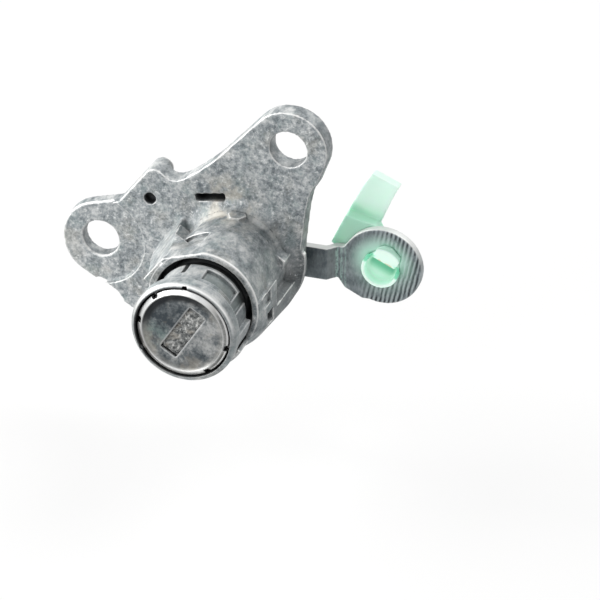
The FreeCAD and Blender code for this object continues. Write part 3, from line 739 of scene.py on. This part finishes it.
@dataclass(frozen=True)
class ShutterSteel:
    """Rough pressed shutter with an uneven surface, dark at its lower end."""

    name: str = "shutter_steel"
    dark: Colour = (0.022, 0.024, 0.026)
    middle: Colour = (0.150, 0.156, 0.154)
    light: Colour = (0.40, 0.40, 0.39)
    spark: Colour = (0.64, 0.64, 0.62)
    warm: Colour = (0.26, 0.22, 0.17)
    end: Colour = (0.012, 0.013, 0.014)
    gap_shade: Colour = (0.01, 0.011, 0.012)

    def material(self) -> bpy.types.Material:
        """Build the material.

        Returns:
            The material.
        """
        sheet = Sheet(self.name)
        turn = (0, -KEYWAY_ANGLE, 0)
        place = sheet.place(turn=turn, stretch=(0.8, 1.0, 1.2))
        fine = sheet.noise(place, 0.35, 3, 0.6)
        value = sheet.noise(place, 0.75, 4, 0.66) * 0.75 + fine * 0.25
        colour = sheet.ramp(value, [(0.34, self.dark), (0.49, self.middle), (0.66, self.light)])
        spark = sheet.noise(sheet.place(turn=turn, stretch=(1.6, 1.0, 0.8)), 0.6, 3, 0.6)
        colour = sheet.tint(spark.step(0.56, 0.66) * 0.7, colour, self.spark)
        warm = sheet.noise(place, 1.6, 2, 0.5).step(0.52, 0.66) * 0.35
        colour = sheet.tint(warm, colour, self.warm)
        end = 1 - sheet.along("X", turn).step(-3.6, -2.2)
        colour = sheet.tint(end * 0.75, colour, self.end)
        # Painted shade in gaps, from occlusion.
        gap_shade = sheet.hollow(1.0).step(0.45, 0.95)
        colour = sheet.tint(gap_shade * 0.8, colour, self.gap_shade)
        return sheet.finish(Base_Color=colour, Metallic=0.55, Roughness=0.42 + fine * 0.2,
                            Normal=sheet.bump(value, 0.40, 0.9))


@dataclass(frozen=True)
class LeverSteel:
    """Rolled steel: blue-grey, sides and edges bright from cutting and painted highlight, upright
    ridges with painted highlight and shade on the eye's outer part, painted highlight bands at
    the bend, a painted reflection round the eye and painted shade in gaps.
    """

    name: str = "lever_steel"
    dark: Colour = (0.085, 0.110, 0.122)
    light: Colour = (0.31, 0.350, 0.365)
    arm: Colour = (0.035, 0.045, 0.052)
    # Colour of the painted highlight bands at the bend.
    bend_highlight: Colour = (0.40, 0.58, 0.52)
    # Colours of the painted highlight on the ridges' crests and the painted shade in their
    # grooves.
    crest_highlight: Colour = (0.50, 0.56, 0.56)
    groove_shade: Colour = (0.014, 0.018, 0.020)
    # Colour of the painted reflection of the green clip.
    painted_glow: Colour = (0.58, 0.86, 0.74)
    # Colour of the sides: bare cut metal with painted highlight.
    sheared_and_lit: Colour = (0.66, 0.67, 0.66)
    # Colour of the rims: bare cut metal with painted highlight.
    rim: Colour = (0.72, 0.73, 0.72)
    gap_shade: Colour = (0.012, 0.014, 0.015)
    bend: float = 16.3
    lean: float = math.radians(-12.0)
    pitch: float = 0.80

    def material(self) -> bpy.types.Material:
        """Build the material.

        Returns:
            The material.
        """
        sheet = Sheet(self.name)
        place = sheet.place()
        grain = sheet.noise(sheet.place(stretch=(2.0, 1.0, 0.7)), 0.7, 4, 0.65)
        clouds = sheet.noise(place, 2.2, 3, 0.55)
        colour = sheet.ramp(grain * 0.45 + clouds * 0.55, [(0.36, self.dark), (0.64, self.light)])
        arm = 1 - sheet.along("X").step(15.4, 16.6)
        colour = sheet.tint(arm * 0.45, colour, self.arm)
        # Painted greenish highlight bands across the bend.
        band = sheet.along("X", centre=(self.bend, 0, 0))
        bend_highlight_bands = (band * (2 * math.pi / self.pitch)).wave() * 0.5 + 0.5
        bent = (1 - (band * band).step(0.5, 1.6)) * grain.step(0.35, 0.60)
        colour = sheet.tint(bend_highlight_bands * bent * 0.75, colour, self.bend_highlight)
        across = sheet.along("X", (0, self.lean, 0), LEVER_EYE)
        warp = sheet.noise(place, 2.4, 4, 0.6)
        ridges = ((across + warp * 0.55) * (2 * math.pi / self.pitch)).wave() * 0.5 + 0.5
        front = (sheet.facing("Y") * -1.0).step(0.55, 0.85)
        patches = sheet.noise(place, 1.6, 3, 0.6).step(0.28, 0.52)
        outer = across.step(-4.0, 0.2) * patches * front
        # Painted highlight on the ridges' crests and painted shade in their grooves.
        colour = sheet.tint(ridges.step(0.50, 1.0) * outer * 0.62, colour, self.crest_highlight)
        colour = sheet.tint((1 - ridges).step(0.50, 1.0) * outer * 0.88, colour, self.groove_shade)
        # Painted reflection of the green clip round the eye, strongest above it.
        above = sheet.along("Z", centre=LEVER_EYE).step(-3.5, 3.0)
        painted_glow = (1 - sheet.reach(LEVER_EYE).step(3.3, 6.9)) * (0.22 + above * 0.78)
        colour = sheet.tint(painted_glow, colour, self.painted_glow)
        colour = self.sheared_and_lit_edges(sheet, colour)
        # Painted shade in gaps, from occlusion.
        gap_shade = sheet.hollow(1.6).step(0.40, 0.95)
        colour = sheet.tint(gap_shade * 0.8, colour, self.gap_shade)
        height = grain * 0.25 + ridges * outer * 0.75
        return sheet.finish(Base_Color=colour, Metallic=0.55, Roughness=0.42 + grain * 0.2,
                            Normal=sheet.bump(height, 0.12, 0.9))

    def sheared_and_lit_edges(self, sheet: Sheet, colour: Wire) -> Wire:
        """Brighten the cut sides and their rims, part bare metal and part painted highlight, most
        where they look up.

        Args:
            sheet: The material sheet.
            colour: The steel's colour.

        Returns:
            The brightened colour.
        """
        # Bare cut sides and rims, with painted highlight strongest where they face up.
        upward = sheet.facing("Z").step(-0.05, 0.75)
        broad = (sheet.facing("Y") ** 2.0).step(0.30, 0.72)
        colour = sheet.tint((1 - broad) * (0.15 + upward * 0.70), colour, self.sheared_and_lit)
        rim = sheet.edges(0.03, 0.09) * (0.35 + upward * 0.65)
        return sheet.tint(rim * 0.5, colour, self.rim)


@dataclass(frozen=True)
class MilkyNylon:
    """Milky mint nylon with painted shade in the hollows, the cup and the notch, deeper in colour
    toward its block, and a painted glow.
    """

    name: str = "clear_nylon"
    pale: Colour = (0.72, 0.95, 0.82)
    deep: Colour = (0.16, 0.56, 0.36)
    # Colour of the dirt along the split.
    dirt_and_shade: Colour = (0.62, 0.36, 0.26)
    angle: float = math.radians(65.0)
    split: float = 1.15
    light_radii: Place = (0.7, 1.0, 0.85)
    light_metres: float = 0.002

    def material(self) -> bpy.types.Material:
        """Build the material.

        Returns:
            The material.
        """
        sheet = Sheet(self.name)
        place = sheet.place()
        clouds = sheet.noise(place, 3.5, 3, 0.5)
        arm = sheet.along("X", (0, self.angle, 0), LEVER_EYE)
        radius = sheet.radius(LEVER_EYE)
        head = (1 - sheet.along("Y").step(39.2, 40.2)) * (1 - radius.step(3.5, 3.8))
        block = (1 - arm.step(5.2, 7.2)) * radius.step(3.6, 4.0)
        bowl = (1 - radius.step(2.0, 3.1)) * arm.step(-2.4, 0.4) * (1 - arm.step(1.0, 1.2)) * head
        notch = (1 - ((arm - 0.9) ** 2.0).step(0.15, 1.1)) * radius.step(2.2, 2.9) * head * 0.95
        # Painted shade in the hollows, the cup and the notch; the block is deeper in colour.
        shade = (sheet.hollow(3.0) * 0.8).most(block * 0.50).most(bowl).most(notch)
        colour = sheet.tint(shade + (clouds - 0.5) * 0.15, self.pale, self.deep)
        line = 1 - ((arm - self.split - 0.15) ** 2.0).step(0.01, 0.09)
        line = line * (1 - radius.step(1.9, 2.3)) * head
        dirt_and_shade = line * sheet.noise(place, 1.4, 2, 0.5).step(0.46, 0.56)
        colour = sheet.tint(dirt_and_shade * 0.65, colour, self.dirt_and_shade)
        # Painted glow: emission in the nylon's own colour, strongest in the head outside the cup.
        painted_glow = sheet.tint(0.35 + head * (1 - bowl) * 0.65, BLACK, colour)
        return sheet.finish(Base_Color=colour, Roughness=0.30 + clouds * 0.1,
                            Subsurface_Weight=0.45, Subsurface_Radius=self.light_radii,
                            Subsurface_Scale=self.light_metres,
                            Emission_Color=painted_glow, Emission_Strength=0.36,
                            Normal=sheet.bump(sheet.noise(place, 1.0, 3, 0.5), 0.02, 0.4))


@dataclass(frozen=True)
class PlainMetal:
    """Plain worked metal with light grain."""

    name: str
    dark: Colour
    light: Colour
    grain: float
    roughness: float

    def material(self) -> bpy.types.Material:
        """Build the material.

        Returns:
            The material.
        """
        sheet = Sheet(self.name)
        place = sheet.place()
        clouds = sheet.noise(place, self.grain * 4, 4, 0.6)
        fine = sheet.noise(place, self.grain, 3, 0.6)
        value = clouds * 0.6 + fine * 0.4
        colour = sheet.ramp(value, [(0.35, self.dark), (0.65, self.light)])
        return sheet.finish(Base_Color=colour, Metallic=0.95,
                            Roughness=self.roughness + fine * 0.15,
                            Normal=sheet.bump(fine, 0.02, 0.5))


PLUG_ZINC = PlainMetal("plug_zinc", (0.18, 0.19, 0.20), (0.40, 0.41, 0.42), 0.5, 0.36)
PLAIN_STEEL = PlainMetal("plain_steel", (0.22, 0.23, 0.24), (0.50, 0.51, 0.52), 0.4, 0.28)
SPRING_STEEL = PlainMetal("spring_steel", (0.20, 0.20, 0.21), (0.46, 0.46, 0.47), 0.3, 0.25)
WAFER_BRASS = PlainMetal("wafer_brass", (0.38, 0.25, 0.09), (0.62, 0.44, 0.18), 0.4, 0.28)


# Mesh tools


def deselect() -> None:
    """Leave object mode with nothing selected."""
    if bpy.context.object is not None and bpy.context.object.mode != "OBJECT":
        bpy.ops.object.mode_set(mode="OBJECT")
    bpy.ops.object.select_all(action="DESELECT")


def choose(piece: bpy.types.Object) -> None:
    """Make one piece the only selected and active one.

    Args:
        piece: The piece.
    """
    deselect()
    piece.select_set(True)
    bpy.context.view_layer.objects.active = piece


def edit(piece: bpy.types.Object) -> None:
    """Open a piece in edit mode with its whole mesh selected.

    Args:
        piece: The piece.
    """
    choose(piece)
    bpy.ops.object.mode_set(mode="EDIT")
    bpy.ops.mesh.select_all(action="SELECT")


def apply(piece: bpy.types.Object, kind: str, **settings: object) -> None:
    """Add one modifier and apply it.

    Args:
        piece: The piece.
        kind: Type of the modifier.
        **settings: Its attributes.
    """
    choose(piece)
    modifier = piece.modifiers.new(kind.title(), kind)
    for key, value in settings.items():
        setattr(modifier, key, value)
    bpy.ops.object.modifier_apply(modifier=modifier.name)


def copy_of(node: str, name: str) -> bpy.types.Object:
    """Merged copy of a CAD node's mesh as a new object.

    Args:
        node: Name of the CAD node.
        name: Name of the copy.

    Returns:
        The copy.
    """
    piece = bpy.data.objects.new(name, bpy.data.objects[node].data.copy())
    bpy.context.scene.collection.objects.link(piece)
    piece.data.materials.clear()
    edit(piece)
    bpy.ops.mesh.remove_doubles(threshold=MERGE_METRES)
    bpy.ops.mesh.normals_make_consistent(inside=False)
    bpy.ops.object.mode_set(mode="OBJECT")
    return piece


def keep_side(piece: bpy.types.Object, depth: float, front: bool, close: bool = True) -> None:
    """Cut a piece at one depth along the lock axis.

    Args:
        piece: The piece.
        depth: Depth of the cut.
        front: Whether the front part stays.
        close: Whether the cut is closed.
    """
    edit(piece)
    bpy.ops.mesh.bisect(plane_co=(0, depth * MM, 0), plane_no=(0, 1, 0), use_fill=close,
                        clear_outer=front, clear_inner=not front)
    bpy.ops.object.mode_set(mode="OBJECT")


def soften(piece: bpy.types.Object, voxel: float, rounds: int) -> None:
    """Round every edge and root of a piece as casting or moulding does.

    Args:
        piece: The piece.
        voxel: Size of the new faces.
        rounds: Smoothing rounds.
    """
    apply(piece, "REMESH", mode="VOXEL", voxel_size=voxel * MM, adaptivity=0.0)
    apply(piece, "SMOOTH", factor=SMOOTHING, iterations=rounds)
    for face in piece.data.polygons:
        face.use_smooth = True
    mark_relief(piece, round((RELIEF_REACH / voxel) ** 2))


def mark_relief(piece: bpy.types.Object, rounds: int) -> None:
    """Store on each vertex its height in millimetres above its smoothed surroundings.

    Args:
        piece: The piece.
        rounds: Rounds of smoothing that the surroundings get.
    """
    mesh = piece.data
    count = len(mesh.vertices)
    places = np.empty(count * 3)
    normals = np.empty(count * 3)
    ends = np.empty(len(mesh.edges) * 2, dtype=int)
    mesh.vertices.foreach_get("co", places)
    mesh.vertices.foreach_get("normal", normals)
    mesh.edges.foreach_get("vertices", ends)
    places = places.reshape(-1, 3)
    first, second = ends.reshape(-1, 2).T
    degree = np.maximum(np.bincount(ends, minlength=count), 1)
    soft = places.copy()
    for _ in range(rounds):
        total = [np.bincount(first, soft[second, axis], count)
                 + np.bincount(second, soft[first, axis], count) for axis in range(3)]
        soft = 0.3 * soft + 0.7 * np.stack(total, axis=1) / degree[:, None]
    relief = ((places - soft) * normals.reshape(-1, 3)).sum(axis=1) / MM
    layer = mesh.attributes.new(RELIEF, "FLOAT", "POINT")
    layer.data.foreach_set("value", relief)


def settle(piece: bpy.types.Object, body: Body, slot: Slot, metal: bpy.types.Material,
           *nodes: str) -> None:
    """Dress a finished piece, let it ride on its body and report it.

    Args:
        piece: The piece.
        body: Body that it rides on.
        slot: Material slot of the record; not used.
        metal: Its material.
        *nodes: CAD nodes that it stands for; a second piece of a node names none.
    """
    piece.data.materials.append(metal)
    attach(piece, body.value)
    if nodes:
        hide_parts(*nodes)
    LOG.info("%s rides on %s with %d faces", piece.name, body.value, len(piece.data.polygons))


# Sub-assemblies


@dataclass
class Housing:
    """Die-cast housing: barrel with its ribs and pockets, and the plate with its ears."""

    join_depth: float = 28.6
    barrel_voxel: float = 0.18
    plate_voxel: float = 0.27
    rounds: int = 2
    finish: Finish = CastZinc()

    def build(self) -> list[bpy.types.Object]:
        """Round the casting in two lengths, the barrel finer.

        Returns:
            The barrel and the plate.
        """
        barrel = copy_of("housing", "housing_barrel")
        soften(barrel, self.barrel_voxel, self.rounds)
        keep_side(barrel, self.join_depth, front=True, close=False)
        plate = copy_of("housing", "housing_plate")
        soften(plate, self.plate_voxel, self.rounds)
        keep_side(plate, self.join_depth, front=False, close=False)
        return [barrel, plate]

    def dress(self, barrel: bpy.types.Object, plate: bpy.types.Object) -> None:
        """Give both lengths the same cast metal.

        Args:
            barrel: The front length.
            plate: The rear length.
        """
        metal = self.finish.material()
        settle(barrel, Body.HOUSING, Slot.CAST_ZINC, metal, "housing")
        settle(plate, Body.HOUSING, Slot.CAST_ZINC, metal)


@dataclass
class Sleeve:
    """Free-turning sleeve with its flange and crown."""

    front_depth: float = 12.2
    overlap: float = 0.2
    voxel: float = 0.14
    rounds: int = 2
    finish: Finish = SleeveZinc()

    def build(self) -> list[bpy.types.Object]:
        """Round the front and keep the hidden shank behind it plain.

        Returns:
            The front and the shank.
        """
        front = copy_of("cylinder_sleeve", "sleeve_front")
        keep_side(front, self.front_depth, front=True)
        soften(front, self.voxel, self.rounds)
        shank = copy_of("cylinder_sleeve", "sleeve_shank")
        keep_side(shank, self.front_depth - self.overlap, front=False)
        return [front, shank]

    def dress(self, front: bpy.types.Object, shank: bpy.types.Object) -> None:
        """Give both lengths the same turned metal.

        Args:
            front: The flange and crown.
            shank: The length inside the housing.
        """
        metal = self.finish.material()
        settle(front, Body.CORE, Slot.TURNED_ZINC, metal, "cylinder_sleeve")
        settle(shank, Body.CORE, Slot.TURNED_ZINC, metal)


@dataclass
class RoundedPart:
    """Part made of one rounded copy of its CAD node."""

    node: str
    name: str
    body: Body
    slot: Slot
    voxel: float
    rounds: int
    finish: Finish

    def build(self) -> list[bpy.types.Object]:
        """Round the node's edges.

        Returns:
            The piece alone.
        """
        piece = copy_of(self.node, self.name)
        soften(piece, self.voxel, self.rounds)
        return [piece]

    def dress(self, piece: bpy.types.Object) -> None:
        """Give the piece its finish."""
        settle(piece, self.body, self.slot, self.finish.material(), self.node)


@dataclass
class FaceCap(RoundedPart):
    """Pressed cap with a smoky disc and a polished bevel."""

    node: str = "face_cap"
    name: str = "face_cap_pressing"
    body: Body = Body.CORE
    slot: Slot = Slot.STAINLESS
    voxel: float = 0.11
    rounds: int = 2
    finish: Finish = CapSteel()


@dataclass
class Lever(RoundedPart):
    """Bent lever with its round eye."""

    node: str = "lever"
    name: str = "lever_pressing"
    body: Body = Body.CORE
    slot: Slot = Slot.LEVER
    voxel: float = 0.17
    rounds: int = 3
    finish: Finish = LeverSteel()


@dataclass
class RodClip(RoundedPart):
    """Moulded rod clip in the lever's eye."""

    node: str = "rod_clip"
    name: str = "rod_clip_moulding"
    body: Body = Body.CLIP
    slot: Slot = Slot.NYLON
    voxel: float = 0.14
    rounds: int = 4
    finish: Finish = MilkyNylon()


@dataclass
class RearHardware:
    """Plug with its flatted tail, thrust washer and e-clip behind the plate."""

    tail_depth: float = 31.0
    overlap: float = 0.2
    voxel: float = 0.13
    rounds: int = 2

    def build(self) -> list[bpy.types.Object]:
        """Round what shows behind the plate and keep the hidden plug plain.

        Returns:
            The plug's front, its tail, the washer and the clip.
        """
        front = copy_of("plug", "plug_front")
        keep_side(front, self.tail_depth + self.overlap, front=True)
        tail = copy_of("plug", "plug_tail")
        keep_side(tail, self.tail_depth, front=False)
        washer = copy_of("thrust_washer", "thrust_washer_ring")
        clip = copy_of("e_clip", "e_clip_ring")
        for piece in (tail, washer, clip):
            soften(piece, self.voxel, self.rounds)
        return [front, tail, washer, clip]

    def dress(self, front: bpy.types.Object, tail: bpy.types.Object,
              washer: bpy.types.Object, clip: bpy.types.Object) -> None:
        """Give each piece its metal.

        Args:
            front: The plug's hidden front.
            tail: The plug's tail.
            washer: The thrust washer.
            clip: The retaining clip.
        """
        zinc = PLUG_ZINC.material()
        settle(front, Body.CORE, Slot.PLUG_ZINC, zinc, "plug")
        settle(tail, Body.CORE, Slot.PLUG_ZINC, zinc)
        settle(washer, Body.HOUSING, Slot.PLAIN, PLAIN_STEEL.material(), "thrust_washer")
        dark = replace(SPRING_STEEL, name="clip_steel").material()
        settle(clip, Body.CORE, Slot.SPRING, dark, "e_clip")


@dataclass
class ReturnSpring:
    """Torsion spring round the rear boss, as a wound wire."""

    wire: float = 0.66
    inset: float = 0.08
    play: float = 0.02
    turns: float = 2.0
    sides: int = 12
    steps: int = 96

    def build(self) -> list[bpy.types.Object]:
        """Wind one round section along the axis and close its ends.

        Returns:
            The coil alone.
        """
        low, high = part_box("return_spring")
        middle = high.x - (self.wire / 2 + self.inset) * MM
        rise = high.y - low.y - (self.wire + 2 * self.play) * MM
        deselect()
        bpy.ops.mesh.primitive_circle_add(vertices=self.sides, radius=self.wire / 2 * MM,
                                          fill_type="NOTHING")
        piece = bpy.context.object
        piece.name = "return_spring_coil"
        edit(piece)
        bpy.ops.transform.translate(
            value=(middle, low.y + (self.wire / 2 + self.play) * MM, 0.0))
        bpy.ops.object.mode_set(mode="OBJECT")
        apply(piece, "SCREW", axis="Y", angle=2 * math.pi * self.turns, screw_offset=rise,
              steps=self.steps, use_smooth_shade=True)
        edit(piece)
        bpy.ops.mesh.fill_holes(sides=0)
        bpy.ops.mesh.normals_make_consistent(inside=False)
        bpy.ops.object.mode_set(mode="OBJECT")
        return [piece]

    def dress(self, coil: bpy.types.Object) -> None:
        """Give the coil its steel."""
        metal = replace(SPRING_STEEL, name="return_spring_steel").material()
        settle(coil, Body.HOUSING, Slot.SPRING, metal, "return_spring")


@dataclass
class InnerParts:
    """Shutter, wafers and their springs, which keep their CAD shapes."""

    wafers: int = 8

    def build(self) -> list[bpy.types.Object]:
        """Take the CAD nodes as they are.

        Returns:
            The nodes' objects.
        """
        names = ["shutter", "shutter_pin", "shutter_spring"]
        for number in range(1, self.wafers + 1):
            names += ["wafer_%d" % number, "wafer_spring_%d" % number]
        return [bpy.data.objects[name] for name in names]

    def dress(self, *nodes: bpy.types.Object) -> None:
        """Give every node its metal and report it.

        Args:
            *nodes: The nodes' objects.
        """
        spring = SPRING_STEEL.material()
        brass = WAFER_BRASS.material()
        metals = {"shutter": ShutterSteel().material(),
                  "shutter_pin": replace(PLAIN_STEEL, name="pin_steel").material()}
        for node in nodes:
            metal = metals.get(node.name, spring if "spring" in node.name else brass)
            node.data.materials.clear()
            node.data.materials.append(metal)
            LOG.info("%s keeps its CAD shape", node.name)


# Studio


@dataclass(frozen=True)
class Lamp:
    """One soft square lamp that looks at the lock, in metres and watts."""

    name: str
    place: Place
    size: float
    power: float
    tint: Colour
    target: Place = (0.0, 0.015, 0.0)

    def hang(self) -> None:
        """Put the lamp in its place and turn it to the lock."""
        data = bpy.data.lights.new(self.name, "AREA")
        data.shape = "SQUARE"
        data.size = self.size
        data.energy = self.power
        data.color = self.tint
        lamp = bpy.data.objects.new(self.name, data)
        bpy.context.scene.collection.objects.link(lamp)
        lamp.location = self.place
        aim = Vector(self.target) - Vector(self.place)
        lamp.rotation_euler = aim.to_track_quat("-Z", "Y").to_euler()


@dataclass(frozen=True)
class Studio:
    """Camera, pale floor, white surroundings and lamps, in metres."""

    distance: float = 0.8
    focal_mm: float = 280.8
    sensor_mm: float = 36.0
    clip_start: float = 0.01
    right: Place = (0.940252, 0.340480, 0.00003)
    up: Place = (-0.167626, 0.462830, 0.870454)
    back: Place = (0.296359, -0.818451, 0.492250)
    aside: float = 0.02533
    lift: float = 0.00684
    floor_height: float = -0.034
    floor_size: float = 6.0
    floor_colour: Colour = (0.85, 0.85, 0.85)
    floor_glow: float = 0.80
    fill: Colour = (0.16, 0.165, 0.17)
    lamps: tuple[Lamp, ...] = (
        Lamp("left", (-0.70, 0.00, 0.35), 0.45, 7.4, (1.0, 0.985, 0.96)),
        Lamp("right_back", (0.35, 0.35, 0.60), 0.45, 3.6, (1.0, 0.99, 0.975)),
        Lamp("front_left", (-0.45, -0.66, 0.20), 0.40, 2.6, (0.97, 0.99, 1.0)),
        Lamp("front_high", (-0.05, -0.50, 0.65), 0.45, 1.0, WHITE),
    )

    def camera(self) -> None:
        """Place the camera at the photograph's angle."""
        data = bpy.data.cameras.new("camera")
        data.lens = self.focal_mm
        data.sensor_width = self.sensor_mm
        data.clip_start = self.clip_start
        camera = bpy.data.objects.new("camera", data)
        bpy.context.scene.collection.objects.link(camera)
        back = Vector(self.back)
        look = -back + Vector(self.right) * self.aside + Vector(self.up) * self.lift
        turn = look.normalized().to_track_quat("-Z", "Y").to_matrix().to_4x4()
        camera.matrix_world = Matrix.Translation(back * self.distance) @ turn
        bpy.context.scene.camera = camera

    def ground(self) -> None:
        """Lay the pale floor, which shows white but keeps the shadow."""
        deselect()
        bpy.ops.mesh.primitive_plane_add(size=self.floor_size,
                                         location=(0, 0, self.floor_height))
        plane = bpy.context.object
        plane.name = "floor"
        sheet = Sheet("pale_floor")
        paint = sheet.node("ShaderNodeBsdfDiffuse", {}, {"Color": (*self.floor_colour, 1.0)})
        white = sheet.node("ShaderNodeEmission", {}, {"Color": (*WHITE, 1.0), "Strength": 1.0})
        mixed = sheet.node("ShaderNodeMixShader", {}, {
            0: sheet.seen() * self.floor_glow, 1: paint, 2: white})
        plane.data.materials.append(sheet.close(mixed))

    def surroundings(self) -> None:
        """Set white for what is seen, and a plain grey fill for the light."""
        sheet = Sheet("studio", world=True)
        fill = sheet.node("ShaderNodeBackground", {}, {"Color": (*self.fill, 1.0)})
        white = sheet.node("ShaderNodeBackground", {}, {"Color": (*WHITE, 1.0)})
        mixed = sheet.node("ShaderNodeMixShader", {}, {0: sheet.seen(), 1: fill, 2: white})
        bpy.context.scene.world = sheet.close(mixed, "ShaderNodeOutputWorld")

    def build(self) -> None:
        """Set the whole studio."""
        self.camera()
        self.ground()
        self.surroundings()
        for lamp in self.lamps:
            lamp.hang()
        bpy.context.scene.view_settings.view_transform = "Standard"


def main() -> None:
    """Set the studio, then build and dress the lock part by part."""
    logging.basicConfig(level=logging.INFO, format="%(message)s")
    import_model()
    Studio().build()
    parts = (Housing(), Sleeve(), FaceCap(), Lever(), RodClip(), RearHardware(), ReturnSpring(),
             InnerParts())
    for part in parts:
        part.dress(*part.build())


if __name__ == "__main__":
    main()
